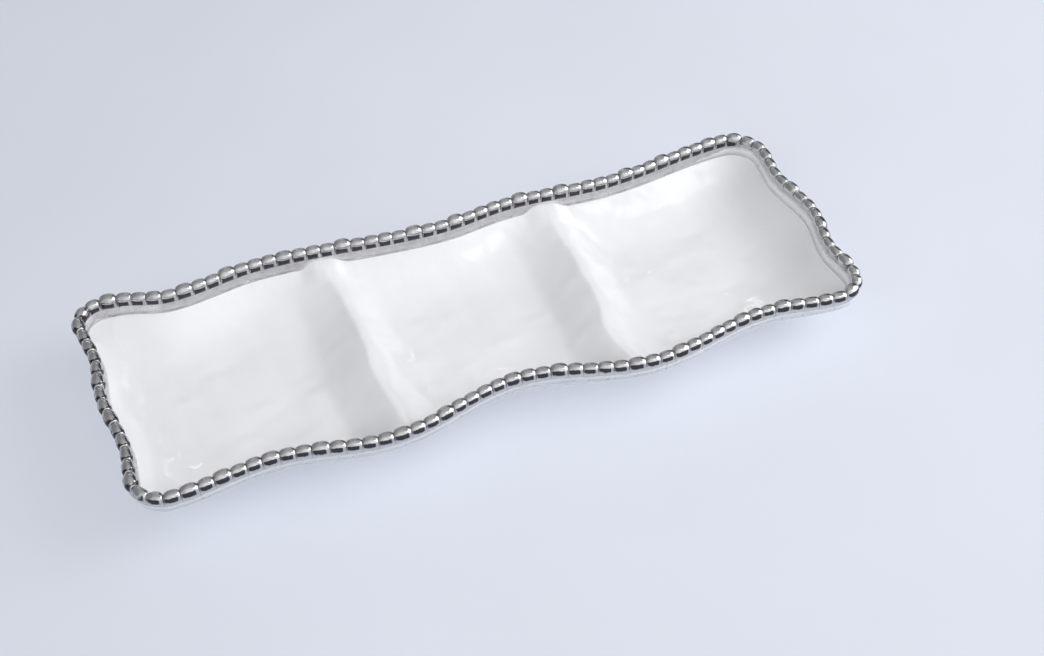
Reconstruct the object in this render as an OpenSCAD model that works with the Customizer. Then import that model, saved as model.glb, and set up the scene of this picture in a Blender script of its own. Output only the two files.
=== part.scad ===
// Divided serving dish. A waved porcelain tray with three wells between two soft folds,
// a plated band round the top of its wall, a strand of plated beads on the band,
// and three unglazed foot rings. Millimetres, +Z up. The origin is on the table, under
// the middle of the dish, with the long side along X and the front at -Y.

/* [Rim] */
// Length of the rim between the beads of the two short sides, without the waves
rim_len = 415; // [340:5:480]
// Width of the rim between the beads of the two long sides, without the waves
rim_wid = 140; // [125:1:160]
// Radius of the rim's four corners
corner_r = 16; // [14:1:22]
// How far the rim leaves its straight line at a full wave
wave_depth = 7; // [2:0.5:9]

/* [Shell] */
// Height of the top edge of the porcelain wall above the table
wall_h = 27; // [24:0.5:34]
// Thickness of the porcelain wall at its top edge
wall_t = 5; // [4:0.25:6]
// Thickness of the porcelain under the middle of a well
floor_t = 5; // [4:0.25:6]
// How square the sections of the wells are, from bowl-like to box-like
wall_power = 5; // [4:0.5:6]

/* [Folds] */
// Distance between the crests of the two folds that part the wells
fold_gap = 133; // [115:1:145]
// How far the middle of a crest lies below the wall's top edge
fold_drop = 3; // [1:0.5:6]
// Thickness of the porcelain at a crest
fold_t = 5; // [4:0.25:6]
// How far the left fold leans to the left at its back end
left_slant = 4; // [0:0.5:6]
// How far the right fold leans to the right at its back end
right_slant = 1; // [0:0.5:6]
// How far a crest bows to the right in its back half
fold_bow = 2; // [0:0.25:3]
// How far the wall's inner edge climbs up the band where a fold meets it
fold_climb = 4.5; // [0:0.25:4.75]
// Half the length of that climb along the rim
climb_reach = 15; // [10:1:20]

/* [Band] */
// Height of the plated band on the wall's top edge
band_h = 6.2; // [6:0.2:8]
// How far the band leans out between its foot and its top
rim_lean = 1.5; // [0:0.25:2]
// Width of the band's top that is left beside the groove for the beads
groove_land = 0.5; // [0.3:0.1:0.8]

/* [Beads] */
// Mean distance between the middles of neighbouring beads
bead_pitch = 8.65; // [8.2:0.05:9.5]
// Diameter of an ordinary bead
bead_d = 6.9; // [6.2:0.1:7.4]
// Diameter of a larger bead
big_bead_d = 7.8; // [7.4:0.1:8.2]
// Diameter of the neck between two beads
neck_d = 4.4; // [3.6:0.1:5]
// Space left between the ends of two beads
bead_gap = 0.3; // [0.2:0.05:0.5]
// Space between a bead and the bottom of its groove
seat_gap = 0.2; // [0.1:0.05:0.3]
// How much the beads differ in thickness from one to the next
bead_uneven = 0.25; // [0:0.05:0.4]
// Where the strand starts along the rim, from the middle of the front left corner
bead_start = 4.6; // [0:0.1:8.6]

/* [Feet] */
// Height of the foot rings
foot_h = 3; // [2:0.25:4]
// Outer diameter of a foot ring
foot_d = 72; // [56:1:76]
// Width of a foot ring
foot_w = 5; // [4:0.5:7]
// Radius of the rounded lower edges of a foot ring
foot_edge_r = 1.2; // [0.6:0.1:1.6]

/* [Hidden] */
$fn = 48;

// The waves of the four sides, each read along +X or +Y. A row holds a place, as a share
// of the half length of the side's straight run, and a swell, as a share of wave_depth.
front_wave_shares = [[-1, 0.57], [-0.71, -0.24], [-0.39, 1.03], [0, -1.07],
    [0.39, 1.04], [0.77, -0.57], [1, 0.17]];
right_wave_shares = [[-1, 0], [-0.63, -0.29], [0, 0.54], [0.67, -0.19], [1, 0.1]];
back_wave_shares = [[-1, 0.71], [-0.83, -0.34], [-0.55, 0.6], [0, -0.54],
    [0.25, 0.17], [0.54, -0.31], [1, 1]];
left_wave_shares = [[-1, -0.14], [-0.65, -0.33], [0.1, 0.34], [0.6, 0.04], [1, 0.4]];
// Extra swell at the middle of each corner, front left, front right, back right, back left
corner_swell_shares = [0, 0, 0.05, 0.45];

// Which beads are the larger ones, counted round the rim from the front left corner
big_beads = [2, 4, 7, 10, 15, 18, 23, 26, 31, 34, 39, 42, 47, 50, 54, 58, 62, 65,
    67, 71, 74, 79, 82, 87, 90, 95, 99, 103, 106, 111, 114, 119, 122, 127];
// Length of a larger bead as a share of an ordinary one's
big_length_share = 1.14;
// The first bead of the left end, and how the lengths there compare with the others
first_left_bead = 113;
left_length_share = 1.08;
// Turn from bead to bead that spreads their unevenness, in degrees
uneven_turn = 137.5;

// How much closer the stations lie beside a fold than in the middle of a well
crowd_share = 0.5;
// How sharply a fold stands up from the floor, above and below
fold_power = 3;
under_fold_power = 4;
// How fast the climb beside a fold fades away from the rim
climb_power = 8;
// How far the underside is flattened for the feet, as a share of its depth
flat_share = 0.08;
// Share of the climb's reach that stays at its full height
climb_flat_share = 0.25;

// Steps of the mesh: half a corner, one well along X, the straight part along Y
arc_steps = 3;
well_steps = 20;
side_steps = 18;
groove_steps = 4;

run_x = rim_len / 2 - corner_r;
run_y = rim_wid / 2 - corner_r;
arc_reach = corner_r * sin(45);
half_x = run_x + arc_reach;
half_y = run_y + arc_reach;
well_depth = wall_h - foot_h - floor_t;
band_top = wall_h + band_h;
groove_r = big_bead_d / 2 + bead_uneven + seat_gap;
groove_half = wall_t / 2 - groove_land;
groove_bottom = band_top - groove_r + sqrt(groove_r * groove_r - groove_half * groove_half);

function mix(a, b, t) = a + (b - a) * t;
function clamp(t) = min(1, max(0, t));
function ease(t) = (1 - cos(180 * clamp(t))) / 2;
function crowd(t) = t - crowd_share * sin(360 * t) / (2 * PI);

// Swell of a side at place p between -1 and 1, eased between the rows of its table
function swell(table, p) =
    let (k = max([for (i = [0:len(table) - 2]) if (i == 0 || table[i][0] <= p) i]),
        a = table[k], b = table[k + 1])
    mix(a[1], b[1], ease((p - a[0]) / (b[0] - a[0]))) * wave_depth;

// Swell round a corner, from the end a of one side to the end b of the other
function corner_swell(a, b, bulge_share, turn) =
    mix(a, b, turn / 90) + bulge_share * wave_depth * sin(2 * turn);

// A point of a long side. Place p is on the straight run up to 1 and on the corner from
// 1 to 2, whole steps of half a corner. y_sign is -1 for the front and 1 for the back.
function long_point(p, y_sign, off) =
    let (table = y_sign < 0 ? front_wave_shares : back_wave_shares,
        s = sign(p),
        turn = max(0, abs(p) - 1) * 45,
        own = swell(table, max(-1, min(1, p))),
        other = swell(s < 0 ? left_wave_shares : right_wave_shares, y_sign),
        bulge_share = corner_swell_shares[y_sign < 0 ? (s < 0 ? 0 : 1) : (s < 0 ? 3 : 2)],
        w = abs(p) <= 1 ? own : corner_swell(own, other, bulge_share, turn),
        r = corner_r + w + off)
    abs(p) <= 1 ? [p * run_x, y_sign * (run_y + r)]
        : [s * (run_x + r * sin(turn)), y_sign * (run_y + r * cos(turn))];

// A point of a short side, in the same way. x_sign is -1 for the left, 1 for the right.
function short_point(p, x_sign, off) =
    let (table = x_sign < 0 ? left_wave_shares : right_wave_shares,
        s = sign(p),
        turn = max(0, abs(p) - 1) * 45,
        own = swell(table, max(-1, min(1, p))),
        other = swell(s < 0 ? front_wave_shares : back_wave_shares, x_sign),
        bulge_share = corner_swell_shares[s < 0 ? (x_sign < 0 ? 0 : 1) : (x_sign < 0 ? 3 : 2)],
        w = abs(p) <= 1 ? own : corner_swell(own, other, bulge_share, turn),
        r = corner_r + w + off)
    abs(p) <= 1 ? [x_sign * (run_x + r), p * run_y]
        : [x_sign * (run_x + r * cos(turn)), s * (run_y + r * sin(turn))];

// Stations along a long side, closer together beside the folds at places a and b
function stretch(a, b) = [for (i = [0:well_steps - 1]) mix(a, b, crowd(i / well_steps))];
function long_stations(a, b) = concat(
    [for (i = [0:arc_steps - 1]) -2 + i / arc_steps],
    stretch(-1, a), stretch(a, b), stretch(b, 1),
    [for (i = [0:arc_steps]) 1 + i / arc_steps]);
short_stations = concat(
    [for (i = [0:arc_steps - 1]) -2 + i / arc_steps],
    [for (i = [0:side_steps - 1]) -1 + 2 * i / side_steps],
    [for (i = [0:arc_steps]) 1 + i / arc_steps]);

fold_place = fold_gap / 2 / run_x;
front_stations = long_stations(-fold_place + left_slant / run_x, fold_place - right_slant / run_x);
mid_stations = long_stations(-fold_place, fold_place);
back_stations = long_stations(-fold_place - left_slant / run_x, fold_place + right_slant / run_x);
last_x = len(mid_stations) - 1;
last_y = len(short_stations) - 1;
left_fold_step = arc_steps + well_steps;
right_fold_step = arc_steps + 2 * well_steps;

// Distance of a station from the middle of its side
function reach(p, run) = abs(p) <= 1 ? p * run
    : sign(p) * (run + corner_r * sin((abs(p) - 1) * 45));
station_x = [for (p = mid_stations) reach(p, run_x)];
station_y = [for (p = short_stations) reach(p, run_y)];
across = [for (y = station_y) y / half_y];

// Share of a well's depth that is lost at place q, 0 in its middle and 1 at its edge
function wall_rise(q) = pow(q, wall_power);
function fold_rise(q, power) = ease(pow(q, power));

// Depth of the lengthwise section below the wall's edge at station i
function section_depth(i, depth, crest_depth, power) =
    let (well = i <= left_fold_step ? 0 : (i <= right_fold_step ? 1 : 2),
        a = well == 0 ? -half_x : station_x[well == 1 ? left_fold_step : right_fold_step],
        b = well == 2 ? half_x : station_x[well == 0 ? left_fold_step : right_fold_step],
        q = 2 * (station_x[i] - a) / (b - a) - 1,
        at_wall = (well == 0 && q < 0) || (well == 2 && q > 0))
    at_wall ? depth * (1 - wall_rise(abs(q)))
        : depth - (depth - crest_depth) * fold_rise(abs(q), power);

// Climb of the wall's inner edge at station i of a long side
function climb(i) =
    let (d = min(abs(station_x[i] - station_x[left_fold_step]),
            abs(station_x[i] - station_x[right_fold_step])),
        flat = climb_reach * climb_flat_share)
    fold_climb * ease(1 - (d - flat) / (climb_reach - flat));

top_depth = [for (i = [0:last_x])
    section_depth(i, well_depth, fold_drop, fold_power)];
under_depth = [for (i = [0:last_x])
    section_depth(i, wall_h - foot_h, fold_drop + fold_t, under_fold_power)];

function top_z(i, j) = wall_h + climb(i) * pow(abs(across[j]), climb_power)
    - top_depth[i] * (1 - wall_rise(abs(across[j])));
function under_z(i, j) = max(foot_h,
    wall_h - (1 + flat_share) * under_depth[i] * (1 - wall_rise(abs(across[j]))));

// Sideways shift of the crests, full at a fold and gone at the walls and the ends
function bow(i, j) =
    let (q = clamp(1 - min(abs(station_x[i] - station_x[left_fold_step]),
            abs(station_x[i] - station_x[right_fold_step])) / (fold_gap / 2)))
    fold_bow * ease(q) * sin(180 * clamp(across[j])) * (across[j] > 0 ? 1 : 0);

// Offset of the band's foot from the middle line of the beads at station i of a long
// side. The inner edge leans out with the band where it climbs. side is -1 for the inner
// edge and 1 for the outer one.
function foot_off(i, side) = side * wall_t / 2
    - rim_lean * (side < 0 ? 1 - climb(i) / band_h : 1);

// A patch that fills the outline of the band's foot from its four sides
function patch(side) =
    let (front = [for (i = [0:last_x]) long_point(front_stations[i], -1, foot_off(i, side))],
        back = [for (i = [0:last_x]) long_point(back_stations[i], 1, foot_off(i, side))],
        left = [for (p = short_stations) short_point(p, -1, foot_off(0, side))],
        right = [for (p = short_stations) short_point(p, 1, foot_off(last_x, side))])
    [for (i = [0:last_x])
        let (u = (station_x[i] / half_x + 1) / 2)
        [for (j = [0:last_y])
            let (v = (across[j] + 1) / 2)
            mix(front[i], back[i], v) + mix(left[j], right[j], u)
                - mix(mix(front[0], front[last_x], u), mix(back[0], back[last_x], u), v)
                + [bow(i, j), 0]]];

// Stations round the patch's edge, counter-clockwise from the front left corner
edge_loop = concat(
    [for (i = [0:last_x - 1]) [i, 0]],
    [for (j = [0:last_y - 1]) [last_x, j]],
    [for (i = [last_x:-1:1]) [i, last_y]],
    [for (j = [last_y:-1:1]) [0, j]]);
edge_count = len(edge_loop);

inner_patch = patch(-1);
outer_patch = patch(1);

// The rim's outline at a given offset from the middle line of the beads
function outline(off) = [for (e = edge_loop)
    e[1] == 0 ? long_point(front_stations[e[0]], -1, off)
        : e[1] == last_y ? long_point(back_stations[e[0]], 1, off)
        : short_point(short_stations[e[1]], e[0] == 0 ? -1 : 1, off)];

// The middle line of the beads, its running length and the point at a given length
rim_line = outline(0);
function running(i, sum) = i == edge_count ? [sum]
    : concat([sum], running(i + 1, sum + norm(rim_line[(i + 1) % edge_count] - rim_line[i])));
rim_run = running(0, 0);
rim_total = rim_run[edge_count];
function rim_at(s) =
    let (w = s - rim_total * floor(s / rim_total),
        k = max([for (i = [0:edge_count - 1]) if (rim_run[i] <= w) i]))
    mix(rim_line[k], rim_line[(k + 1) % edge_count],
        (w - rim_run[k]) / (rim_run[k + 1] - rim_run[k]));

// The beads: their shares of the length, the places of their middles and their thickness
bead_count = round(rim_total / bead_pitch);
function is_big(i) = len([for (b = big_beads) if (b == i) b]) > 0;
bead_shares = [for (i = [0:bead_count - 1])
    (is_big(i) ? big_length_share : 1) * (i < first_left_bead ? 1 : left_length_share)];
function total(list, i, sum) = i == len(list) ? [sum]
    : concat([sum], total(list, i + 1, sum + list[i]));
bead_run = total(bead_shares, 0, 0);
bead_unit = rim_total / bead_run[bead_count];
bead_place = [for (i = [0:bead_count - 1])
    bead_start + (bead_run[i] + bead_shares[i] / 2) * bead_unit];
bead_at = [for (s = bead_place) rim_at(s)];
bead_r = [for (i = [0:bead_count - 1]) (is_big(i) ? big_bead_d : bead_d) / 2
    + bead_uneven / 2 * sin(uneven_turn * i)];

// Half the turn of the strand at the joint between bead i and the next one
function along(i) = bead_at[(i + 1) % bead_count] - bead_at[(i + bead_count - 1) % bead_count];
function heading(i) = atan2(along(i)[1], along(i)[0]);
function turn_between(a, b) = abs(heading(b) - heading(a)) % 360 > 180
    ? 360 - abs(heading(b) - heading(a)) % 360 : abs(heading(b) - heading(a)) % 360;
// Half the length of bead i on the side of its neighbour n, clear of the neighbour's end
function bead_half(i, n) =
    let (a = turn_between(i, n) / 2,
        d = norm(bead_at[n] - bead_at[i]) * bead_shares[i] / (bead_shares[i] + bead_shares[n]))
    d * cos(a) - neck_d / 2 * sin(a) - bead_gap / 2;

module dish_body() {
    ny = last_y + 1;
    layer = (last_x + 1) * ny;
    points = concat(
        [for (i = [0:last_x], j = [0:last_y]) [inner_patch[i][j][0], inner_patch[i][j][1], top_z(i, j)]],
        [for (i = [0:last_x], j = [0:last_y]) [outer_patch[i][j][0], outer_patch[i][j][1], under_z(i, j)]]);
    top_faces = [for (i = [0:last_x - 1], j = [0:last_y - 1])
        let (a = i * ny + j, b = a + ny)
        each [[a, a + 1, b + 1], [a, b + 1, b]]];
    under_faces = [for (f = top_faces) [f[2] + layer, f[1] + layer, f[0] + layer]];
    edge_faces = [for (k = [0:edge_count - 1])
        let (e = edge_loop[k], g = edge_loop[(k + 1) % edge_count],
            a = e[0] * ny + e[1], b = g[0] * ny + g[1])
        each [[a + layer, a, b], [a + layer, b, b + layer]]];
    color("white")
        polyhedron(points = points, faces = concat(top_faces, under_faces, edge_faces), convexity = 6);
}

// Top of the band's section, as offsets from the middle line of the beads and heights
groove_turn = asin(groove_half / groove_r);
band_crown = concat([[wall_t / 2, band_top]],
    [for (g = [0:groove_steps])
        let (a = groove_turn * (1 - 2 * g / groove_steps))
        [groove_r * sin(a), groove_bottom + groove_r * (1 - cos(a))]],
    [[-wall_t / 2, band_top]]);

module rim_band() {
    n = len(band_crown) + 2;
    inner_top = outline(-wall_t / 2);
    outer_top = outline(wall_t / 2);
    points = [for (k = [0:edge_count - 1])
        let (e = edge_loop[k],
            foot_in = inner_patch[e[0]][e[1]],
            foot_out = outer_patch[e[0]][e[1]])
        each concat(
            [[foot_in[0], foot_in[1], wall_h + climb(e[0])], [foot_out[0], foot_out[1], wall_h]],
            [for (c = band_crown)
                let (q = mix(inner_top[k], outer_top[k], c[0] / wall_t + 1 / 2))
                [q[0], q[1], c[1]]])];
    faces = [for (k = [0:edge_count - 1], m = [0:n - 1])
        let (a = k * n + m, b = k * n + (m + 1) % n,
            c = ((k + 1) % edge_count) * n + (m + 1) % n, d = ((k + 1) % edge_count) * n + m)
        each [[a, b, d], [b, c, d]]];
    color("silver")
        polyhedron(points = points, faces = faces, convexity = 6);
}

// One bead along X, with its middle at the origin: a straight belt between two ends that
// are rounded on the bead's own radius and cut flat at the neck's size
module bead(r, half) {
    belt = max(bead_gap, half - sqrt(r * r - neck_d * neck_d / 4));
    rotate([0, 90, 0])
        rotate_extrude()
            intersection() {
                union() {
                    translate([0, -belt])
                        square([r, 2 * belt]);
                    for (y = [-belt, belt])
                        translate([0, y])
                            circle(r);
                }
                translate([0, -half])
                    square([2 * r, 2 * half]);
            }
}

module bead_on_rim(i) {
    half = min(bead_half(i, (i + 1) % bead_count), bead_half(i, (i + bead_count - 1) % bead_count));
    translate([bead_at[i][0], bead_at[i][1], groove_bottom + seat_gap + bead_r[i]])
        rotate([0, 0, heading(i)])
            bead(bead_r[i], half);
}

// The beads of one side or corner, named by the signs of its place in X and Y
module beads(x_side, y_side) {
    color("silver")
        for (i = [0:bead_count - 1]) {
            sx = abs(bead_at[i][0]) > run_x ? sign(bead_at[i][0]) : 0;
            sy = abs(bead_at[i][1]) > run_y ? sign(bead_at[i][1]) : 0;
            if (sx == x_side && sy == y_side)
                bead_on_rim(i);
        }
}

module front_beads() { beads(0, -1); }
module right_beads() { beads(1, 0); }
module back_beads() { beads(0, 1); }
module left_beads() { beads(-1, 0); }
module front_left_corner_beads() { beads(-1, -1); }
module front_right_corner_beads() { beads(1, -1); }
module back_right_corner_beads() { beads(1, 1); }
module back_left_corner_beads() { beads(-1, 1); }

// A foot ring under the middle of a well, with its two lower edges rounded
module foot_ring(x) {
    color("gainsboro")
        translate([x, 0, 0])
            rotate_extrude()
                translate([foot_d / 2 - foot_w, 0]) {
                    translate([0, foot_edge_r])
                        square([foot_w, foot_h - foot_edge_r]);
                    translate([foot_edge_r, 0])
                        square([foot_w - 2 * foot_edge_r, foot_h]);
                    for (e = [foot_edge_r, foot_w - foot_edge_r])
                        translate([e, foot_edge_r])
                            circle(foot_edge_r);
                }
}

end_well_x = (half_x + fold_gap / 2) / 2;
module left_foot_ring() { foot_ring(-end_well_x); }
module centre_foot_ring() { foot_ring(0); }
module right_foot_ring() { foot_ring(end_well_x); }

dish_body();
rim_band();
front_beads();
right_beads();
back_beads();
left_beads();
front_left_corner_beads();
front_right_corner_beads();
back_right_corner_beads();
back_left_corner_beads();
left_foot_ring();
centre_foot_ring();
right_foot_ring();
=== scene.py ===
"""Divided serving dish: a waved white porcelain dish with three wells between two soft
folds, a plated band round its rim and a strand of plated beads on the band.
Metres, +Z up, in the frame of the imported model."""

import math

import bpy
import numpy as np
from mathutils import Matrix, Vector

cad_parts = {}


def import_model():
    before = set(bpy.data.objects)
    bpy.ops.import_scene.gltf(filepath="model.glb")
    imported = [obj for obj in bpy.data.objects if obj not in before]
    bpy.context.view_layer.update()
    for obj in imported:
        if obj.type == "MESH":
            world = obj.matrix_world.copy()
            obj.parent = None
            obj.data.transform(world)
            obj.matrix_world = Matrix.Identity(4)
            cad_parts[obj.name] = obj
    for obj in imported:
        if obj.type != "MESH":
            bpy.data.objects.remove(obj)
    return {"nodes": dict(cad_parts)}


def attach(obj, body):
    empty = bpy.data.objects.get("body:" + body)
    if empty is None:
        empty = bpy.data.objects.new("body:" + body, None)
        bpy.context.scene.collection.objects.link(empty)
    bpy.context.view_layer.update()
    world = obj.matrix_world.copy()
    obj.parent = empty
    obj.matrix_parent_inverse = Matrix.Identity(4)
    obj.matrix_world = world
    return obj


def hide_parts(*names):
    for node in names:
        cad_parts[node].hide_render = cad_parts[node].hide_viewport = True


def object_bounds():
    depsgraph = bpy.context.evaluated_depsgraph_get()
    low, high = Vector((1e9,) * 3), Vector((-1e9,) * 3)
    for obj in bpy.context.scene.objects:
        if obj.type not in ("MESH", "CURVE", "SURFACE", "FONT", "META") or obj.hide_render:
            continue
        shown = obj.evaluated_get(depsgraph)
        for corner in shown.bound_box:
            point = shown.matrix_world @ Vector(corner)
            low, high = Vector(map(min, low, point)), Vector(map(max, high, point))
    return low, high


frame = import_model()
cad_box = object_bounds()

MM = 0.001

# Rim, as in the solids
RIM_LEN, RIM_WID = 415 * MM, 140 * MM
CORNER_R, WAVE_DEPTH = 16 * MM, 7 * MM
# Shell
WALL_H, WALL_T, FLOOR_T, WALL_POWER = 27 * MM, 5 * MM, 5 * MM, 5
# Folds
FOLD_GAP, FOLD_DROP, FOLD_T = 133 * MM, 3 * MM, 5 * MM
LEFT_SLANT, RIGHT_SLANT, FOLD_BOW = 4 * MM, 1 * MM, 2 * MM
FOLD_CLIMB, CLIMB_REACH = 4.5 * MM, 15 * MM
FOLD_POWER, UNDER_FOLD_POWER, CLIMB_POWER = 3, 4, 8
FLAT_SHARE, CLIMB_FLAT_SHARE = 0.08, 0.25
# Band
BAND_H, RIM_LEAN, GROOVE_LAND = 6.2 * MM, 1.5 * MM, 0.5 * MM
# Beads
BEAD_D, BIG_BEAD_D = 6.9 * MM, 7.8 * MM
SEAT_GAP, BEAD_UNEVEN = 0.2 * MM, 0.25 * MM
BEAD_PITCH, BEAD_START = 8.65 * MM, 4.6 * MM
BIG_LENGTH_SHARE, UNEVEN_TURN = 1.14, math.radians(137.5)
FIRST_LEFT_BEAD, LEFT_LENGTH_SHARE = 113, 1.08
# Feet
FOOT_H = 3 * MM

# The waves of the sides: place on the side's straight run, and swell as a share of WAVE_DEPTH.
# Keys are (0 for a side along X or 1 for one along Y, side's sign).
WAVES = {
    (0, -1): [(-1, 0.57), (-0.71, -0.24), (-0.39, 1.03), (0, -1.07), (0.39, 1.04), (0.77, -0.57), (1, 0.17)],
    (1, 1): [(-1, 0), (-0.63, -0.29), (0, 0.54), (0.67, -0.19), (1, 0.1)],
    (0, 1): [(-1, 0.71), (-0.83, -0.34), (-0.55, 0.6), (0, -0.54), (0.25, 0.17), (0.54, -0.31), (1, 1)],
    (1, -1): [(-1, -0.14), (-0.65, -0.33), (0.1, 0.34), (0.6, 0.04), (1, 0.4)],
}
# Extra swell at the middle of a corner, by the signs of its place in X and Y
CORNER_SWELL = {(-1, -1): 0, (1, -1): 0, (1, 1): 0.05, (-1, 1): 0.45}
BIG_BEADS = {2, 4, 7, 10, 15, 18, 23, 26, 31, 34, 39, 42, 47, 50, 54, 58, 62, 65,
             67, 71, 74, 79, 82, 87, 90, 95, 99, 103, 106, 111, 114, 119, 122, 127}

# Steps of the visual mesh: half a corner, one well along X, the straight part along Y
ARC_STEPS, WELL_STEPS, SIDE_STEPS = 10, 84, 84
# How much closer together the steps of a well are at its ends, from 0 for even steps
CROWDING = 0.5

RUN = (RIM_LEN / 2 - CORNER_R, RIM_WID / 2 - CORNER_R)
ARC_REACH = CORNER_R * math.sin(math.pi / 4)
HALF = (RUN[0] + ARC_REACH, RUN[1] + ARC_REACH)
WELL_DEPTH = WALL_H - FOOT_H - FLOOR_T
BAND_TOP = WALL_H + BAND_H
GROOVE_R = BIG_BEAD_D / 2 + BEAD_UNEVEN + SEAT_GAP
GROOVE_HALF = WALL_T / 2 - GROOVE_LAND
GROOVE_BOTTOM = BAND_TOP - GROOVE_R + math.sqrt(GROOVE_R ** 2 - GROOVE_HALF ** 2)


def mix(a, b, t):
    return a + (b - a) * t


def ease(t):
    """A smooth rise from 0 to 1 as t goes from 0 to 1."""
    return (1 - np.cos(np.pi * np.clip(t, 0, 1))) / 2


def wavy(*waves):
    """A smooth uneven value about zero: a sum of sines. Each wave is its share, the place along
    it, its length in the same unit and its phase."""
    return sum(share * np.sin(2 * np.pi * place / length + phase) for share, place, length, phase in waves)


# The rim's outline

def swell(key, p):
    """How far a side swells outward at place p on its straight run."""
    table = np.array(WAVES[key], float)
    k = np.clip(np.searchsorted(table[:, 0], p, side="right") - 1, 0, len(table) - 2)
    a, b = table[k], table[k + 1]
    return mix(a[..., 1], b[..., 1], ease((p - a[..., 0]) / (b[..., 0] - a[..., 0]))) * WAVE_DEPTH


def rim_point(axis, side, p, off):
    """Points of one side of the rim, moved outward by off. Places p go up to 1 on the straight
    run and from 1 to 2 on half a corner."""
    s = np.where(p < 0, -1, 1)
    turn = np.maximum(0, np.abs(p) - 1) * math.pi / 4
    before, after = (swell((1 - axis, end), np.float64(side)) for end in (-1, 1))
    corners = [CORNER_SWELL[(end, side) if axis == 0 else (side, end)] for end in (-1, 1)]
    bulge = np.where(s < 0, corners[0], corners[1]) * WAVE_DEPTH
    own = swell((axis, side), np.clip(p, -1, 1))
    on_corner = mix(own, np.where(s < 0, before, after), turn / (math.pi / 2)) + bulge * np.sin(2 * turn)
    r = CORNER_R + np.where(np.abs(p) <= 1, own, on_corner) + off
    along = np.where(np.abs(p) <= 1, p * RUN[axis], s * (RUN[axis] + r * np.sin(turn)))
    outward = side * (RUN[1 - axis] + r * np.cos(turn))
    pair = (along, outward) if axis == 0 else (outward, along)
    return np.stack(pair, axis=-1)


def crowd(t):
    """Steps from 0 to 1, moved closer together at both ends."""
    return t - CROWDING * np.sin(2 * np.pi * t) / (2 * np.pi)


def side_stations(straight):
    """Places along a whole side: half a corner, the given places and another half corner."""
    arc = np.arange(ARC_STEPS + 1) / ARC_STEPS
    return np.concatenate([-2 + arc[:-1], straight, 1 + arc])


def long_stations(a, b):
    """Places along the front or the back, with a fold at a and one at b."""
    t = crowd(np.arange(WELL_STEPS) / WELL_STEPS)
    return side_stations(np.concatenate([mix(-1, a, t), mix(a, b, t), mix(b, 1, t)]))


def reach(p, run):
    """Distance from the middle at places p along a side, the waves left out."""
    on_corner = run + CORNER_R * np.sin((np.abs(p) - 1) * math.pi / 4)
    return np.where(np.abs(p) <= 1, p * run, np.sign(p) * on_corner)


FOLD_PLACE = FOLD_GAP / 2 / RUN[0]
FRONT_AT = long_stations(-FOLD_PLACE + LEFT_SLANT / RUN[0], FOLD_PLACE - RIGHT_SLANT / RUN[0])
MID_AT = long_stations(-FOLD_PLACE, FOLD_PLACE)
BACK_AT = long_stations(-FOLD_PLACE - LEFT_SLANT / RUN[0], FOLD_PLACE + RIGHT_SLANT / RUN[0])
SIDE_AT = side_stations(-1 + 2 * np.arange(SIDE_STEPS) / SIDE_STEPS)
STATION_X = reach(MID_AT, RUN[0])
ACROSS = reach(SIDE_AT, RUN[1]) / HALF[1]
NX, NY = len(STATION_X), len(ACROSS)
LEFT_FOLD, RIGHT_FOLD = ARC_STEPS + WELL_STEPS, ARC_STEPS + 2 * WELL_STEPS
FOLD_X = STATION_X[[LEFT_FOLD, RIGHT_FOLD]]
FOLD_DISTANCE = np.abs(STATION_X - FOLD_X[:, None]).min(axis=0)
CLIMB_FLAT = CLIMB_REACH * CLIMB_FLAT_SHARE
CLIMB = FOLD_CLIMB * ease(1 - (FOLD_DISTANCE - CLIMB_FLAT) / (CLIMB_REACH - CLIMB_FLAT))

# A crisp side of a fold: where it leaves the soft shape and over how much, how much its crest is
# rounded, all as shares of half a well, and how steep it is
SLOPE_START, SLOPE_FADE, CREST_ROUND, CREST_SLOPE = 0.55, 0.25, 0.018, 2.55


def fold_rise(q, power, crisp):
    """Height of a fold at place q, 0 in a well's middle and 1 at the crest. A crisp side runs
    straight up to a small rounded crest."""
    soft = ease(abs(q) ** power)
    straight = 1 - CREST_SLOPE * (math.sqrt((1 - abs(q)) ** 2 + CREST_ROUND ** 2) - CREST_ROUND)
    return mix(soft, straight, ease((abs(q) - SLOPE_START) / SLOPE_FADE)) if crisp else soft


def section_depth(depth, crest_depth, power, crisp=False):
    """Depth of the lengthwise section below the wall's edge, at each station along X."""
    out = np.zeros(NX)
    ends = [-HALF[0], *FOLD_X, HALF[0]]
    for i, x in enumerate(STATION_X):
        well = 0 if i <= LEFT_FOLD else (1 if i <= RIGHT_FOLD else 2)
        q = 2 * (x - ends[well]) / (ends[well + 1] - ends[well]) - 1
        at_wall = (well == 0 and q < 0) or (well == 2 and q > 0)
        rise = fold_rise(q, power, crisp and q > 0)
        out[i] = depth * (1 - abs(q) ** WALL_POWER) if at_wall else depth - (depth - crest_depth) * rise
    return out


# The uneven run of the crests: a bend in mm, its place and half width from -1 at the front to 1 at
# the back, and the phase of two small waves for each fold
CREST_BEND, CREST_BEND_AT, CREST_BEND_HALF = -2.6, -0.42, 0.34
LEFT_CREST_PHASE, RIGHT_CREST_PHASE = 0.6, 2.9


def crest_shift(phase):
    """Shift of a crest along X, from front to back. It is gone at the walls."""
    bend = CREST_BEND * np.exp(-((ACROSS - CREST_BEND_AT) / CREST_BEND_HALF) ** 2)
    waves = wavy((0.55, ACROSS, 0.62, phase), (0.3, ACROSS, 0.31, 2 * phase))
    return MM * (1 - ACROSS ** 4) * (bend + waves)


def near_fold(gap):
    """1 at the folds and 0 from this distance on, at each station along X."""
    return ease(np.clip(1 - FOLD_DISTANCE / gap, 0, 1))[:, None]


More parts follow.
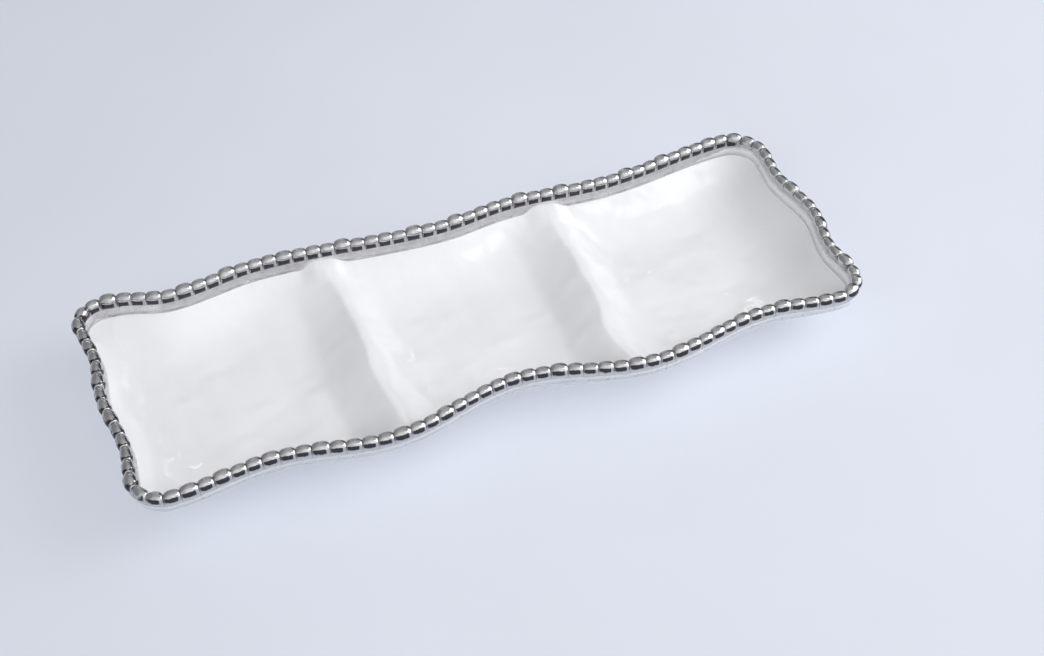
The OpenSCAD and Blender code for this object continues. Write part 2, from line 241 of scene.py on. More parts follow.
def foot_off(side):
    """Offset of the band's foot from the beads' middle line, at each station along X."""
    return side * WALL_T / 2 - RIM_LEAN * (1 - CLIMB / BAND_H if side < 0 else np.ones(NX))


def patch(side):
    """Points over the whole plan, filled in from the four sides of the band's foot. side is -1 for
    the inside of the shell and 1 for its outside."""
    off = foot_off(side)
    front, back = rim_point(0, -1, FRONT_AT, off), rim_point(0, 1, BACK_AT, off)
    left, right = rim_point(1, -1, SIDE_AT, off[0]), rim_point(1, 1, SIDE_AT, off[-1])
    u = ((STATION_X / HALF[0] + 1) / 2)[:, None, None]
    v = ((ACROSS + 1) / 2)[None, :, None]
    plan = mix(front[:, None], back[:, None], v) + mix(left[None], right[None], u)
    plan = plan - mix(mix(front[0], front[-1], u), mix(back[0], back[-1], u), v)
    bow = np.sin(np.pi * np.clip(ACROSS, 0, 1)) * (ACROSS > 0)
    plan[..., 0] += FOLD_BOW * (near_fold(FOLD_GAP / 2) * bow)
    if side < 0:
        on_left = (STATION_X < 0)[:, None]
        shift = np.where(on_left, crest_shift(LEFT_CREST_PHASE), crest_shift(RIGHT_CREST_PHASE))
        plan[..., 0] += near_fold(FOLD_GAP / 3) * shift
    return plan


# Stations round the edge of a patch, counter-clockwise from the front left corner
LOOP = np.array([(i, 0) for i in range(NX - 1)] + [(NX - 1, j) for j in range(NY - 1)]
                + [(i, NY - 1) for i in range(NX - 1, 0, -1)] + [(0, j) for j in range(NY - 1, 0, -1)])


def outline(off):
    """The rim's line moved outward by off, at the stations of LOOP."""
    front, back = rim_point(0, -1, FRONT_AT, off), rim_point(0, 1, BACK_AT, off)
    left, right = rim_point(1, -1, SIDE_AT, off), rim_point(1, 1, SIDE_AT, off)
    return np.concatenate([front, right[1:-1], back[::-1], left[-2:0:-1]])


# The strand's line

RIM_LINE = outline(0)
RIM_STEP = np.linalg.norm(np.roll(RIM_LINE, -1, 0) - RIM_LINE, axis=1)
RIM_RUN = np.concatenate([[0], np.cumsum(RIM_STEP)])
RIM_TOTAL = RIM_RUN[-1]


def rim_at(s):
    """The point at this distance along the rim's line."""
    s = np.mod(s, RIM_TOTAL)
    closed = np.vstack([RIM_LINE, RIM_LINE[:1]])
    return np.stack([np.interp(s, RIM_RUN, closed[:, c]) for c in (0, 1)], axis=-1)


def length_share(i):
    """Length of a bead, in lengths of a small bead of the front."""
    share = BIG_LENGTH_SHARE if i in BIG_BEADS else 1
    return share if i < FIRST_LEFT_BEAD else share * LEFT_LENGTH_SHARE


BEADS = round(RIM_TOTAL / BEAD_PITCH)
LENGTH_SHARES = np.array([length_share(i) for i in range(BEADS)])
JOINT = BEAD_START + np.concatenate([[0], np.cumsum(LENGTH_SHARES)]) * RIM_TOTAL / LENGTH_SHARES.sum()
BEAD_MID = (JOINT[:-1] + JOINT[1:]) / 2
BEAD_R = np.array([(BIG_BEAD_D if i in BIG_BEADS else BEAD_D) / 2 for i in range(BEADS)])
BEAD_R = BEAD_R + BEAD_UNEVEN / 2 * np.sin(UNEVEN_TURN * np.arange(BEADS))


# Mesh helpers

def add_mesh(name, points, faces, smooth=True):
    mesh = bpy.data.meshes.new(name)
    mesh.from_pydata([tuple(map(float, p)) for p in points], [], faces)
    mesh.validate()
    mesh.update()
    if smooth:
        mesh.shade_smooth()
    obj = bpy.data.objects.new(name, mesh)
    bpy.context.scene.collection.objects.link(obj)
    return obj


def grid_faces(rows, cols, first=0, flip=False, close=False):
    """Quads over a grid of points stored row by row. close joins the last row to the first."""
    faces = []
    for i in range(rows if close else rows - 1):
        for j in range(cols - 1):
            a, b = first + i * cols + j, first + (i + 1) % rows * cols + j
            quad = (a, b, b + 1, a + 1)
            faces.append(quad[::-1] if flip else quad)
    return faces


def set_attribute(obj, name, values):
    layer = obj.data.attributes.new(name, "FLOAT", "POINT")
    layer.data.foreach_set("value", np.asarray(values, np.float32))


def fit(piece, material, slot_name, *nodes):
    """The piece stands for these CAD nodes, rides with the dish and takes this material."""
    piece.data.materials.append(material)
    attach(piece, "root")
    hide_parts(*nodes)
    return piece


# Materials

def new_material(name, base, roughness, metallic=0.0, **sockets):
    m = bpy.data.materials.new(name)
    m.use_nodes = True
    shader = m.node_tree.nodes["Principled BSDF"]
    shader.inputs["Base Color"].default_value = (*base, 1)
    shader.inputs["Roughness"].default_value = roughness
    shader.inputs["Metallic"].default_value = metallic
    for key, value in sockets.items():
        shader.inputs[key.replace("_", " ")].default_value = value
    return m, m.node_tree, shader


def noise(tree, scale, detail=2.0, rough=0.5):
    """Noise over the object's own space, scale in waves per metre."""
    coords = tree.nodes.new("ShaderNodeTexCoord")
    n = tree.nodes.new("ShaderNodeTexNoise")
    n.inputs["Scale"].default_value = scale
    n.inputs["Detail"].default_value = detail
    n.inputs["Roughness"].default_value = rough
    tree.links.new(coords.outputs["Object"], n.inputs["Vector"])
    return n.outputs["Fac"]


def ramp(tree, value, low, high, start=0.3, end=0.7):
    """A smooth change from one colour to another as value goes from start to end."""
    r = tree.nodes.new("ShaderNodeValToRGB")
    r.color_ramp.interpolation = "EASE"
    r.color_ramp.elements[0].position, r.color_ramp.elements[1].position = start, end
    r.color_ramp.elements[0].color, r.color_ramp.elements[1].color = (*low, 1), (*high, 1)
    tree.links.new(value, r.inputs["Fac"])
    return r.outputs["Color"]


def spread(tree, value, low, high, start=0.3, end=0.7):
    """value between start and end, mapped to low and high."""
    r = tree.nodes.new("ShaderNodeMapRange")
    for key, v in (("From Min", start), ("From Max", end), ("To Min", low), ("To Max", high)):
        r.inputs[key].default_value = v
    tree.links.new(value, r.inputs["Value"])
    return r.outputs["Result"]


def bump(tree, height, distance, under=None):
    """Small relief from a height of 0 to 1, on top of the relief under it."""
    b = tree.nodes.new("ShaderNodeBump")
    b.inputs["Distance"].default_value = distance
    tree.links.new(height, b.inputs["Height"])
    if under:
        tree.links.new(under, b.inputs["Normal"])
    return b.outputs["Normal"]


def blend_colours(tree, amount, low, high):
    """low where amount is 0, high where it is 1. Either is a colour or another node's output."""
    node = tree.nodes.new("ShaderNodeMix")
    node.data_type = "RGBA"
    tree.links.new(amount, node.inputs["Factor"])
    for socket, value in ((node.inputs["A"], low), (node.inputs["B"], high)):
        if isinstance(value, tuple):
            socket.default_value = (*value, 1)
        else:
            tree.links.new(value, socket)
    return node.outputs["Result"]


def ragged_attribute(tree, name, scale, amount):
    """The value stored on the mesh under this name, made uneven by noise."""
    stored, total = tree.nodes.new("ShaderNodeAttribute"), tree.nodes.new("ShaderNodeMath")
    stored.attribute_name = name
    tree.links.new(stored.outputs["Fac"], total.inputs[0])
    tree.links.new(spread(tree, noise(tree, scale, 3), -amount, amount), total.inputs[1])
    return total.outputs[0]


GLAZE = (0.88, 0.887, 0.90)
GLAZE_RANGE = ((0.862, 0.87, 0.886), (0.893, 0.90, 0.915))
PLATING = ((0.47, 0.47, 0.485), (0.56, 0.56, 0.575))
BAND_PLATING = ((0.62, 0.62, 0.63), (0.72, 0.72, 0.73))
# Painted shade: a dark colour laid on the lower sides of the beads in place of mirrored dark surroundings
PAINTED_SHADE_COLOUR = (0.058, 0.055, 0.060)
BARE_RANGE = ((0.70, 0.67, 0.62), (0.83, 0.81, 0.77))
# How finely and how far the edges of the painted shade on the beads and of the plating are ragged
RAGGED = (500, 0.35)


def porcelain_material():
    """Clear glaze over white porcelain: soft waves from the hand, a faint orange peel."""
    m, tree, shader = new_material("glazed_porcelain", (0.86, 0.865, 0.87), 0.07, IOR=1.5)
    tree.links.new(ramp(tree, noise(tree, 22, 3), *GLAZE_RANGE), shader.inputs["Base Color"])
    tree.links.new(spread(tree, noise(tree, 45, 2), 0.025, 0.06), shader.inputs["Roughness"])
    slow = bump(tree, noise(tree, 80, 1.5), 0.6 * MM)
    tree.links.new(bump(tree, noise(tree, 420, 2), 0.02 * MM, slow), shader.inputs["Normal"])
    return m


def plated_material(name, low, high, rough):
    """Bright plating over hand-rolled porcelain: small dents, worn patches and dull pits."""
    m, tree, shader = new_material(name, high, rough[0], 1.0)
    tree.links.new(ramp(tree, noise(tree, 260, 3), low, high), shader.inputs["Base Color"])
    tree.links.new(spread(tree, noise(tree, 330, 3), *rough), shader.inputs["Roughness"])
    slow = bump(tree, noise(tree, 260, 1), 0.12 * MM)
    tree.links.new(bump(tree, noise(tree, 1500, 2), 0.01 * MM, slow), shader.inputs["Normal"])
    return m


def bead_material(name):
    """The plating of the beads: painted dark shade and reflection on their lower sides, clean plating where
    none is painted, and satin below.
    """
    m = plated_material(name, *PLATING, (0.06, 0.14))
    tree = m.node_tree
    shader = tree.nodes["Principled BSDF"]
    shade_and_satin = ragged_attribute(tree, "shade_and_satin", *RAGGED)
    satin = spread(tree, shade_and_satin, 0, 1, 1.4, 1.8)
    clean = shader.inputs["Base Color"].links[0].from_socket
    # Painted shade: the clean plating is darkened to the painted shade colour where the stored mask is low
    painted_shade_step = blend_colours(tree, spread(tree, shade_and_satin, 0, 1, 0.35, 0.65), PAINTED_SHADE_COLOUR, clean)
    tree.links.new(blend_colours(tree, satin, painted_shade_step, BAND_PLATING[0]), shader.inputs["Base Color"])
    tree.links.new(spread(tree, satin, 0.09, 0.3, 0, 1), shader.inputs["Roughness"])
    return m


def brushed_on_material(name):
    """Satin plating brushed on the glaze, with an uneven lower edge."""
    m = plated_material(name, *BAND_PLATING, (0.25, 0.4))
    tree = m.node_tree
    shader = tree.nodes["Principled BSDF"]
    metal = shader.inputs["Base Color"].links[0].from_socket
    amount = spread(tree, ragged_attribute(tree, "up", *RAGGED), 0, 1, -0.15, 0.35)
    tree.links.new(blend_colours(tree, amount, GLAZE, metal), shader.inputs["Base Color"])
    tree.links.new(amount, shader.inputs["Metallic"])
    return m


def bare_material():
    """Unglazed porcelain of the foot rings: matte, with fine grain and rubbed specks."""
    m, tree, shader = new_material("bare_porcelain", (0.80, 0.78, 0.74), 0.85)
    tree.links.new(ramp(tree, noise(tree, 900, 4, 0.7), *BARE_RANGE, 0.25, 0.6), shader.inputs["Base Color"])
    tree.links.new(spread(tree, noise(tree, 300, 3), 0.7, 0.95), shader.inputs["Roughness"])
    tree.links.new(bump(tree, noise(tree, 2600, 3, 0.7), 0.06 * MM), shader.inputs["Normal"])
    return m


# The shell

WAVE_COUNT, WAVE_STEEP, WAVE_SEED = 16, 0.026, 7
# Lengths in mm
LONGEST_WAVE, SHORTEST_WAVE = 60, 10
# The crests of a wave wander by BEND_TURN radians, over BEND_LENGTH times its own length
BEND_TURN, BEND_LENGTH = 0.3, 2.3
# The waves fade out towards the front and the back, and towards the ends
CALM_POWER_ACROSS, CALM_POWER_ALONG = 6, 10


def hand_waves(plan):
    """Height of the shallow waves that hands and glaze leave in the wells: many small waves of
    unlike length and direction, longer ones higher, all about equally steep."""
    rng = np.random.default_rng(WAVE_SEED)
    x, y = plan[..., 0], plan[..., 1]
    total = 0
    for length in np.geomspace(LONGEST_WAVE, SHORTEST_WAVE, WAVE_COUNT) * MM:
        heading, phase = rng.uniform(0, math.pi), rng.uniform(0, 2 * math.pi)
        run = x * math.cos(heading) + y * math.sin(heading)
        bend = BEND_TURN * np.sin(2 * np.pi * (y - x) / (BEND_LENGTH * length) + 2 * phase)
        total = total + WAVE_STEEP * length / (2 * np.pi) * np.sin(2 * np.pi * run / length + phase + bend)
    return total


def shell():
    """The dish's own wall: the waved inside and the smooth underside, joined along the edge."""
    rise = np.abs(ACROSS) ** WALL_POWER
    inner, outer = patch(-1), patch(1)
    top_depth = section_depth(WELL_DEPTH, FOLD_DROP, FOLD_POWER, crisp=True)[:, None]
    top = WALL_H + CLIMB[:, None] * np.abs(ACROSS) ** CLIMB_POWER - top_depth * (1 - rise)
    calm_along = (1 - np.abs(STATION_X / HALF[0]) ** CALM_POWER_ALONG)[:, None]
    top = top + hand_waves(inner) * ((1 - np.abs(ACROSS) ** CALM_POWER_ACROSS) * calm_along)
    under_depth = section_depth(WALL_H - FOOT_H, FOLD_DROP + FOLD_T, UNDER_FOLD_POWER)[:, None]
    under = np.maximum(FOOT_H, WALL_H - (1 + FLAT_SHARE) * under_depth * (1 - rise))
    top_points = np.concatenate([inner, top[..., None]], axis=-1).reshape(-1, 3)
    under_points = np.concatenate([outer, under[..., None]], axis=-1).reshape(-1, 3)
    layer = NX * NY
    faces = grid_faces(NX, NY) + grid_faces(NX, NY, layer, flip=True)
    edge = [int(i * NY + j) for i, j in LOOP]
    for a, b in zip(edge, edge[1:] + edge[:1]):
        faces.append((a, a + layer, b + layer, b))
    return add_mesh("glazed_shell", np.vstack([top_points, under_points]), faces)


# The band

EDGE_SOFT, EDGE_SOFT_SHARE, GROOVE_POINTS = 0.25 * MM, 0.3, 9
# Height of the glaze that shows below the plating, in mm: on the outer face, and how much more of
# the inner face it takes at the right end, from BARE_X on
OUTER_BARE, END_BARE = 4.4, 4
BARE_X, BARE_FADE = 160 * MM, 40 * MM
# Mean height of the plating's uneven lower edge in mm, and how uneven it is on the outer face
UNEVEN_MEAN, OUTER_UNEVEN_SHARE = 0.9, 0.4


def loop_ring(plan, height):
    """Points at the stations of LOOP, all at one height or each at its own."""
    return np.column_stack([plan, height * np.ones(len(LOOP))])


def band():
    """The plated band: a leaning strip with a groove on top, its edges slightly softened. "up" is
    the height above the plating's lower edge in mm: the outer side is plated near the beads only."""
    foot_in, foot_out = (patch(side)[LOOP[:, 0], LOOP[:, 1]] for side in (-1, 1))
    crown_in, crown_out = outline(-WALL_T / 2), outline(WALL_T / 2)
    climb = CLIMB[LOOP[:, 0]]
    edge = [(WALL_T / 2 - EDGE_SOFT * inward, BAND_TOP - EDGE_SOFT * below)
            for inward, below in ((0, 1), (EDGE_SOFT_SHARE, EDGE_SOFT_SHARE), (1, 0))]
    turn = math.asin(GROOVE_HALF / GROOVE_R)
    groove = [(GROOVE_R * math.sin(a), GROOVE_BOTTOM + GROOVE_R * (1 - math.cos(a)))
              for a in np.linspace(turn, -turn, GROOVE_POINTS)]

    tall = BAND_H / MM
    run = RIM_RUN[:-1]
    uneven = UNEVEN_MEAN + wavy((0.35, run, 0.031, 0), (0.3, run, 0.0173, 2), (0.2, run, 0.0091, 4))
    outer_bare = OUTER_BARE + OUTER_UNEVEN_SHARE * uneven
    end_bare = END_BARE * ease((RIM_LINE[:, 0] - BARE_X) / BARE_FADE)
    rings, ups = [], []
    for t in (0, 0.5):
        rings.append(loop_ring(mix(foot_out, crown_out, t), mix(WALL_H, BAND_TOP, t)))
        ups.append(tall * t - outer_bare)
    inner_edge = [(-x, z) for x, z in reversed(edge)]
    for section, up in ((edge, tall - outer_bare), (groove, tall + 0 * run), (inner_edge, tall - end_bare)):
        for x, z in section:
            rings.append(loop_ring(mix(crown_in, crown_out, x / WALL_T + 0.5), z))
            ups.append(up)
    for t in (0.5, 0):
        rings.append(loop_ring(mix(foot_in, crown_in, t), mix(WALL_H + climb, BAND_TOP, t)))
        ups.append((tall - climb / MM) * t - uneven - end_bare)

    n, count = len(LOOP), len(rings)
    faces = grid_faces(n, count, close=True)
    for k in range(n):
        a, b = k * count, (k + 1) % n * count
        faces.append((a, a + count - 1, b + count - 1, b))
    obj = add_mesh("plated_band", np.stack(rings, axis=1).reshape(-1, 3), faces)
    set_attribute(obj, "up", np.stack(ups, axis=1).reshape(-1))
    return obj


# The beads

NODE_OF_SIDE = {(0, -1): "front_beads", (1, 0): "right_beads", (0, 1): "back_beads", (-1, 0): "left_beads",
                (-1, -1): "front_left_corner_beads", (1, -1): "front_right_corner_beads",
                (1, 1): "back_right_corner_beads", (-1, 1): "back_left_corner_beads"}
RINGS_PER_BEAD, CAP_POINTS = 22, 19
JOINT_R, CORNER_JOINT_R = 1.85 * MM, 1.2 * MM
# A bead's sides run down into the band: their half width there, how deep, the steps and the curve
SKIRT_HALF, SKIRT_IN = 2.6 * MM, 0.4 * MM
SKIRT_STEPS, SKIRT_POWER = np.array([0.2, 0.45, 0.7, 0.9, 1.0]), 2.5
# How a bead fills out between its joints: a power of the place and a root, each between two values
FULL_POWER, FULL_ROOT = (2.0, 2.3), (0.48, 0.56)
# Shares of the radius: a rolled bead's mean, its out-of-round and how much that twists along it
ROUND_MEAN, ROUND_OFF, ROUND_TWIST = 0.985, 0.012, 0.01
HEADING_STEP, FIRST_BEAD_SEED = 0.6 * MM, 100

# Painted shade and satin on the plating, as stored on the mesh: painted dark shade, clean plating and satin
DARK, UNSHADED, SATIN = 0, 1, 2
# Degrees above a bead's middle: where the painted shade ends on the inner and the outer side, where it
# starts on the outer side, over how much it fades, and how many the outer side goes down to the band
INNER_SHADE_TOP, OUTER_SHADE_TOP, SHADE_START, SHADE_FADE, SKIRT_TURN = 4, 36, -6, 5, 30
# Shares of the painted shade left: inner side at the right end, outer side and crescent at the left end
RIGHT_INNER_SHARE, LEFT_OUTER_SHARE, LEFT_CRESCENT_SHARE = 0.1, 0.45, 0.9
# Where a change starts and over how much it takes place: along X, for a bead's inward direction to
# count as an end's; along a bead, for its neck, its end towards the right and its crescent on top;
# and down its side, for the satin
END_START, END_FADE = 0.35, 0.5
NECK_START, NECK_FADE = 0.86, 0.1
CLEAR_END_START, CLEAR_END_FADE = 0.45, 0.2
CRESCENT_START, CRESCENT_FADE = 0.68, 0.25
SATIN_START, SATIN_FADE = 0.2, 0.3


def node_of_bead(i):
    x, y = rim_at(BEAD_MID[i])
    past_end = int(np.sign(x)) if abs(x) > RUN[0] else 0
    past_side = int(np.sign(y)) if abs(y) > RUN[1] else 0
    return NODE_OF_SIDE[(past_end, past_side)]


def bead_painted_shade(turn, drop, u, side):
    """Painted shade and satin on the plating, from dark over clean to satin: painted dark shade below the
    clean cap on the inner side, in a belt on the outer side and round the front end of each bead on the
    left, and satin where the outer side runs down into the band. At the right end the inner side is left
    almost clean of painted shade, and so are the necks and each bead's end towards the right.
    turn is 0 inward and 90 up, in degrees, drop goes from 0 at the bead's middle height to 1 on
    the band, u from -1 to 1 along the bead, and side points inward."""
    inward_x = side[:, :1]
    right_end, left_end = (ease((sign * inward_x - END_START) / END_FADE) for sign in (-1, 1))
    inner, outer_turn = turn < 90, 180 - turn - SKIRT_TURN * drop
    neck = ease((np.abs(u) - NECK_START) / NECK_FADE)
    painted_shade_step = np.maximum(neck, ease((u * side[:, 1:] - CLEAR_END_START) / CLEAR_END_FADE))
    on_inner = mix(1, RIGHT_INNER_SHARE, right_end) * ease(0.5 + (INNER_SHADE_TOP - turn) / (2 * SHADE_FADE))
    below_cap = ease(0.5 + (OUTER_SHADE_TOP - outer_turn) / (2 * SHADE_FADE))
    belt = below_cap * ease(0.5 + (outer_turn - SHADE_START) / SHADE_FADE)
    on_outer = belt * mix(1, LEFT_OUTER_SHARE, left_end)
    off_top = np.abs(turn - 90) / 180
    crescent = LEFT_CRESCENT_SHARE * left_end * ease((u + off_top - CRESCENT_START) / CRESCENT_FADE)
    # Painted shade: the lower sides are darkened in place of mirrored dark surroundings; necks and ends
    # towards the right stay clean
    dark = np.maximum(np.where(inner, on_inner, on_outer), crescent) * (1 - painted_shade_step)
    satin = ease((drop - SATIN_START) / SATIN_FADE) * np.where(inner, right_end, 1)
    return mix(mix(UNSHADED, DARK, dark), SATIN, satin)


def bead_rings(i):
    """Rings of one bead from joint to joint, and their painted shade and satin: a rolled barrel with a
    round cap, whose sides run down into the band."""
    rng = np.random.default_rng(FIRST_BEAD_SEED + i)
    u = np.sin(np.linspace(-math.pi / 2, math.pi / 2, RINGS_PER_BEAD))
    fullness = (1 - np.abs(u) ** rng.uniform(*FULL_POWER)) ** rng.uniform(*FULL_ROOT)
    joint_r = CORNER_JOINT_R if "corner" in node_of_bead(i) else JOINT_R
    r = mix(joint_r, BEAD_R[i], fullness)[:, None]

    s = BEAD_MID[i] + u * (JOINT[i + 1] - JOINT[i]) / 2
    middle = rim_at(s)
    ahead = rim_at(s + HEADING_STEP) - rim_at(s - HEADING_STEP)
    ahead /= np.linalg.norm(ahead, axis=1)[:, None]
    side = np.stack([-ahead[:, 1], ahead[:, 0]], axis=-1)

    turn = np.linspace(0, math.pi, CAP_POINTS)[None]
    off_round = ROUND_OFF * np.sin(2 * turn + rng.uniform(0, 6))
    twist = ROUND_TWIST * np.sin(3 * turn + rng.uniform(0, 6)) * u[:, None]
    cap_r = r * (ROUND_MEAN + off_round + twist)
    centre = GROOVE_BOTTOM + SEAT_GAP + BEAD_R[i]
    skirt = mix(r, SKIRT_HALF, SKIRT_STEPS ** SKIRT_POWER)
    skirt_z = mix(centre, BAND_TOP - SKIRT_IN, SKIRT_STEPS) * np.ones_like(r)
    across = np.hstack([cap_r * np.cos(turn), -skirt, skirt[:, ::-1]])
    z = np.hstack([centre + cap_r * np.sin(turn), skirt_z, skirt_z[:, ::-1]])
    xy = np.clip(middle[:, None] + side[:, None] * across[..., None], cad_box[0][:2], cad_box[1][:2])

    steps = len(SKIRT_STEPS)
    turns = np.concatenate([np.degrees(turn[0]), np.full(steps, 180), np.zeros(steps)])
    drops = np.concatenate([np.zeros(CAP_POINTS), SKIRT_STEPS, SKIRT_STEPS[::-1]])
    return np.concatenate([xy, z[..., None]], axis=-1), bead_painted_shade(turns, drops, u[:, None], side)


def bead_runs():
    """The beads of each node, in their order round the rim, with the node's name."""
    names = [node_of_bead(i) for i in range(BEADS)]
    first = next(i for i in range(BEADS) if names[i] != names[i - 1])
    runs = {}
    for k in range(BEADS):
        i = (first + k) % BEADS
        runs.setdefault(names[i], []).append(i)
    return runs


def bead_strands():
    """One strand of beads for each node of the solids, fused at the necks and closed at its ends."""
    made = []
    for node, run in bead_runs().items():
        parts = [bead_rings(i) for i in run]
        rings = np.concatenate([points for points, shade_and_satin in parts])
        count, around = rings.shape[:2]
        faces = []
        for k in range(count - 1):
            for j in range(around):
                a, b = k * around + j, k * around + (j + 1) % around
                faces.append((a, a + around, b + around, b))
        faces.append(tuple(range(around)))
        faces.append(tuple((count - 1) * around + j for j in reversed(range(around))))
        strand = add_mesh("rolled_" + node, rings.reshape(-1, 3), faces)
        set_attribute(strand, "shade_and_satin", np.concatenate([shade_and_satin for points, shade_and_satin in parts]).reshape(-1))
        made.append((node, strand))
    return made


# The setting

FLOOR_COLOUR = (0.70, 0.735, 0.82)
FLOOR_HALF, FLOOR_DROP = 12, 0.05 * MM
# Share of the floor's light that comes from below, and its strength from the left to the middle
FLOOR_GLOW, GLOW_LEFT, GLOW_MIDDLE, GLOW_LEFT_PLACE = 0.5, 0.965, 1.07, -0.3
# The direction in which the floor gets lighter
FLOOR_ACROSS = (0.931, -0.365, 0)


def mix_for_shown_rays(tree, share, plain, shown):
    """plain for light on other things, and the given share of shown where it is seen or mirrored."""
    path = tree.nodes.new("ShaderNodeLightPath")
    total = path.outputs["Is Camera Ray"]
    for other in ("Is Glossy Ray", "Is Transmission Ray"):
        add = tree.nodes.new("ShaderNodeMath")
        add.operation, add.use_clamp = "ADD", True
        tree.links.new(total, add.inputs[0])
        tree.links.new(path.outputs[other], add.inputs[1])
        total = add.outputs[0]
    scale = tree.nodes.new("ShaderNodeMath")
    scale.operation = "MULTIPLY"
    scale.inputs[1].default_value = share
    tree.links.new(total, scale.inputs[0])
    choose = tree.nodes.new("ShaderNodeMixShader")
    tree.links.new(scale.outputs[0], choose.inputs[0])
    tree.links.new(plain, choose.inputs[1])
    tree.links.new(shown, choose.inputs[2])
    return choose.outputs[0]


def floor():
    """A pale table lit from below as well, so that shadows on it stay light."""
    corners = [(x * FLOOR_HALF, y * FLOOR_HALF, -FLOOR_DROP) for x, y in ((-1, -1), (1, -1), (1, 1), (-1, 1))]
    obj = add_mesh("floor", corners, [(0, 1, 2, 3)], smooth=False)
    m, tree, shader = new_material("pale_floor", FLOOR_COLOUR, 0.8)
    colour = ramp(tree, noise(tree, 6, 2), FLOOR_COLOUR, tuple(c * 1.02 for c in FLOOR_COLOUR))
    tree.links.new(colour, shader.inputs["Base Color"])
    glow = tree.nodes.new("ShaderNodeEmission")
    tree.links.new(colour, glow.inputs["Color"])
    coords, across = tree.nodes.new("ShaderNodeTexCoord"), tree.nodes.new("ShaderNodeVectorMath")
    across.operation = "DOT_PRODUCT"
    across.inputs[1].default_value = FLOOR_ACROSS
    tree.links.new(coords.outputs["Object"], across.inputs[0])
    strength = spread(tree, across.outputs["Value"], GLOW_LEFT, GLOW_MIDDLE, GLOW_LEFT_PLACE, 0)
    tree.links.new(strength, glow.inputs["Strength"])
    lit = mix_for_shown_rays(tree, FLOOR_GLOW, shader.outputs[0], glow.outputs[0])
    tree.links.new(lit, tree.nodes["Material Output"].inputs["Surface"])
    obj.data.materials.append(m)


TENT_R, TENT_TURN = 2.6, math.radians(-21)
TENT_COLUMNS, TENT_ROWS = 120, 40
TENT_LEVEL, FRONT_GAIN, BACK_LOSS, LEFT_LOSS = 0.70, 0.62, 0.3, 0.4
# How far forward the gain is reached in full, and where and over how much the loss on the left grows
FRONT_REACH, LEFT_START, LEFT_FADE = 0.65, -0.15, 0.8
# Dark stretches low on the tent: brightness, middle azimuth, half width and top, in degrees
LOW_WINDOWS = ((0.35, -122, 48, 50), (0.1, 122, 34, 38))
WINDOW_SIDE_FADE, WINDOW_TOP_FADE = 14, 6


def low_window(azimuth, elevation, middle, half, top):
    """1 inside a stretch of the tent's lower part, fading out over a few degrees."""
    away = np.abs((np.degrees(azimuth) - middle + 180) % 360 - 180)
    beside = ease((half - away) / WINDOW_SIDE_FADE + 0.5)
    return beside * ease((top - np.degrees(elevation)) / WINDOW_TOP_FADE + 0.5)


def tent_glow(azimuth, elevation):
    """Brightness of the studio seen in reflections: brighter towards the photographer, dimmer on
    the left, and dark low down on the back left and the back right. azimuth is from -Y towards +X."""
    front = np.cos(azimuth - TENT_TURN) * np.cos(elevation)
    left = -np.sin(azimuth) * np.cos(elevation)
    glow = TENT_LEVEL + BACK_LOSS * np.clip(front, -1, 0) + FRONT_GAIN * ease(front / FRONT_REACH)
    glow = glow * (1 - LEFT_LOSS * ease((left - LEFT_START) / LEFT_FADE))
    for level, *stretch in LOW_WINDOWS:
        glow = mix(glow, level, low_window(azimuth, elevation, *stretch))
    return glow


def tent():
    """The studio's walls as seen in the glaze and the plating only."""
    azimuth = np.linspace(0, 2 * math.pi, TENT_COLUMNS, endpoint=False)[:, None]
    elevation = np.linspace(0, math.pi / 2, TENT_ROWS + 1)[None, :]
    x = TENT_R * np.sin(azimuth) * np.cos(elevation)
    y = -TENT_R * np.cos(azimuth) * np.cos(elevation)
    z = TENT_R * np.sin(elevation) * np.ones_like(azimuth)
    faces = grid_faces(TENT_COLUMNS, TENT_ROWS + 1, close=True)
    obj = add_mesh("studio_tent", np.stack([x, y, z], axis=-1).reshape(-1, 3), faces)
    set_attribute(obj, "glow", tent_glow(azimuth, elevation).reshape(-1))
    m = bpy.data.materials.new("tent_cloth")
    m.use_nodes = True
    tree = m.node_tree
    tree.nodes.remove(tree.nodes["Principled BSDF"])
    value = tree.nodes.new("ShaderNodeAttribute")
    value.attribute_name = "glow"
    light = tree.nodes.new("ShaderNodeEmission")
    tree.links.new(value.outputs["Fac"], light.inputs["Strength"])
    tree.links.new(light.outputs[0], tree.nodes["Material Output"].inputs["Surface"])
    obj.data.materials.append(m)
    obj.visible_camera = obj.visible_diffuse = obj.visible_shadow = obj.visible_transmission = False


# Softboxes: name, azimuth from -Y towards +X and elevation in degrees, distance, width, height,
# watts, whether reflections show them and whether they cast shadows
SOFTBOXES = (
    ("key_box", 36, 50, 1.6, 0.2, 0.4, 0.5, True, True),
    ("right_box", 76, 23, 1.5, 1.5, 1.5, 14.4, True, True),
    ("right_light", 76, 42, 1.6, 0.8, 0.8, 4.6, False, True),
    ("overhead_fill", 30, 75, 2.0, 1.6, 1.6, 13.6, False, False),
    ("front_fill", -58, 36, 1.8, 1.2, 1.0, 9.0, False, True),
    ("back_strip", 165, 27, 1.6, 1.4, 0.02, 0.55, True, True),
)
AIM = Vector((0, 0, 0.02))
WORLD_FILL, BACKGROUND = (0.15, 0.154, 0.162), (0.74, 0.77, 0.85)


def towards(azimuth, elevation):
    """Unit vector with this azimuth from -Y towards +X and this elevation, in degrees."""
    a, e = math.radians(azimuth), math.radians(elevation)
    return Vector((math.sin(a) * math.cos(e), -math.cos(a) * math.cos(e), math.sin(e)))


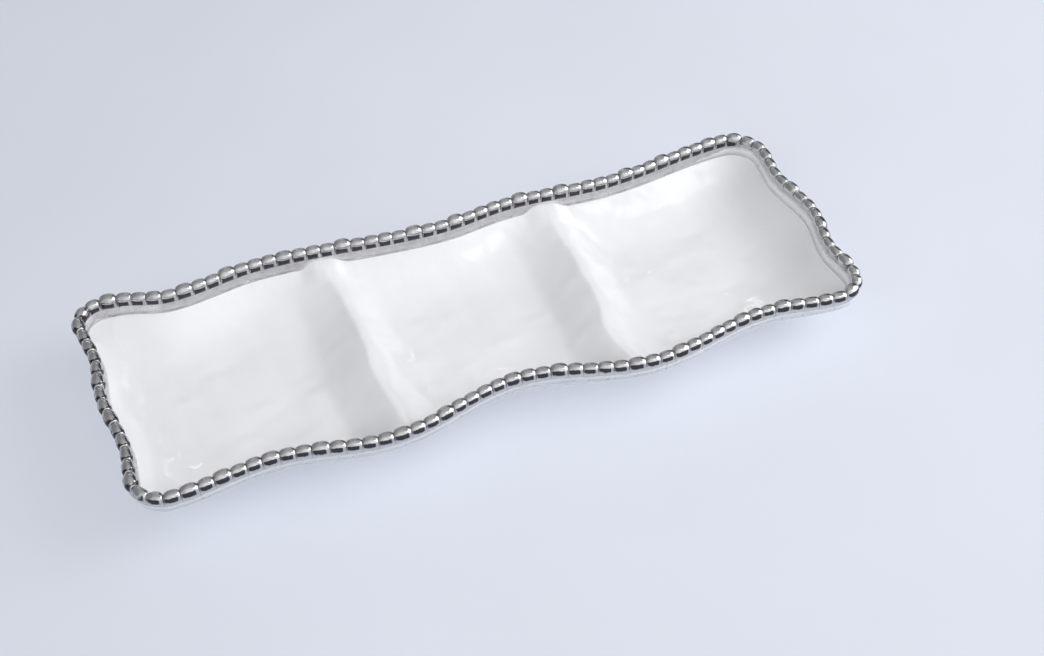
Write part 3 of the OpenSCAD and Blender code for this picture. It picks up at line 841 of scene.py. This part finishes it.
def softbox(name, azimuth, elevation, distance, width, height, power, mirrored, shadows):
    """A flat lamp that faces the dish."""
    data = bpy.data.lights.new(name, "AREA")
    data.shape, data.size, data.size_y, data.energy = "RECTANGLE", width, height, power
    data.use_shadow = shadows
    obj = bpy.data.objects.new(name, data)
    obj.location = distance * towards(azimuth, elevation)
    obj.rotation_euler = (AIM - obj.location).to_track_quat("-Z", "Y").to_euler()
    obj.visible_glossy = mirrored
    bpy.context.scene.collection.objects.link(obj)


def world():
    """Dim light from all round, with a pale background where it is seen or mirrored."""
    w = bpy.data.worlds.new("studio")
    bpy.context.scene.world = w
    w.use_nodes = True
    tree = w.node_tree
    tree.nodes.clear()
    out = tree.nodes.new("ShaderNodeOutputWorld")
    light, shown = (tree.nodes.new("ShaderNodeBackground") for _ in range(2))
    light.inputs["Color"].default_value, light.inputs["Strength"].default_value = (*WORLD_FILL, 1), 1
    shown.inputs["Color"].default_value, shown.inputs["Strength"].default_value = (*BACKGROUND, 1), 1
    tree.links.new(mix_for_shown_rays(tree, 1, light.outputs[0], shown.outputs[0]), out.inputs["Surface"])


CAMERA_PLACE, CAMERA_BEARING = (-0.2031, -0.5857, 0.6536), (-21.413, 45.903)
SENSOR_WIDTH, LENS = 36, 53.93


def camera():
    """The photographer's camera. It looks back along its bearing from the dish."""
    data = bpy.data.cameras.new("camera")
    data.sensor_width, data.lens = SENSOR_WIDTH, LENS
    data.clip_start, data.clip_end = 0.01, 60
    obj = bpy.data.objects.new("camera", data)
    obj.location = CAMERA_PLACE
    obj.rotation_mode = "QUATERNION"
    obj.rotation_quaternion = (-towards(*CAMERA_BEARING)).to_track_quat("-Z", "Y")
    bpy.context.scene.collection.objects.link(obj)
    bpy.context.scene.camera = obj


# Putting it together

plating = bead_material("plated_beads")
band_plating = brushed_on_material("plated_band")
fit(shell(), porcelain_material(), "glazed_porcelain", "dish_body")
fit(band(), band_plating, "plated_metal", "rim_band")
for node_name, strand in bead_strands():
    fit(strand, plating, "plated_metal", node_name)
bare = bare_material()
for ring in ("left_foot_ring", "centre_foot_ring", "right_foot_ring"):
    frame["nodes"][ring].data.materials.clear()
    frame["nodes"][ring].data.materials.append(bare)

floor()
tent()
for values in SOFTBOXES:
    softbox(*values)
world()
camera()
scene = bpy.context.scene
scene.view_settings.view_transform = "Standard"
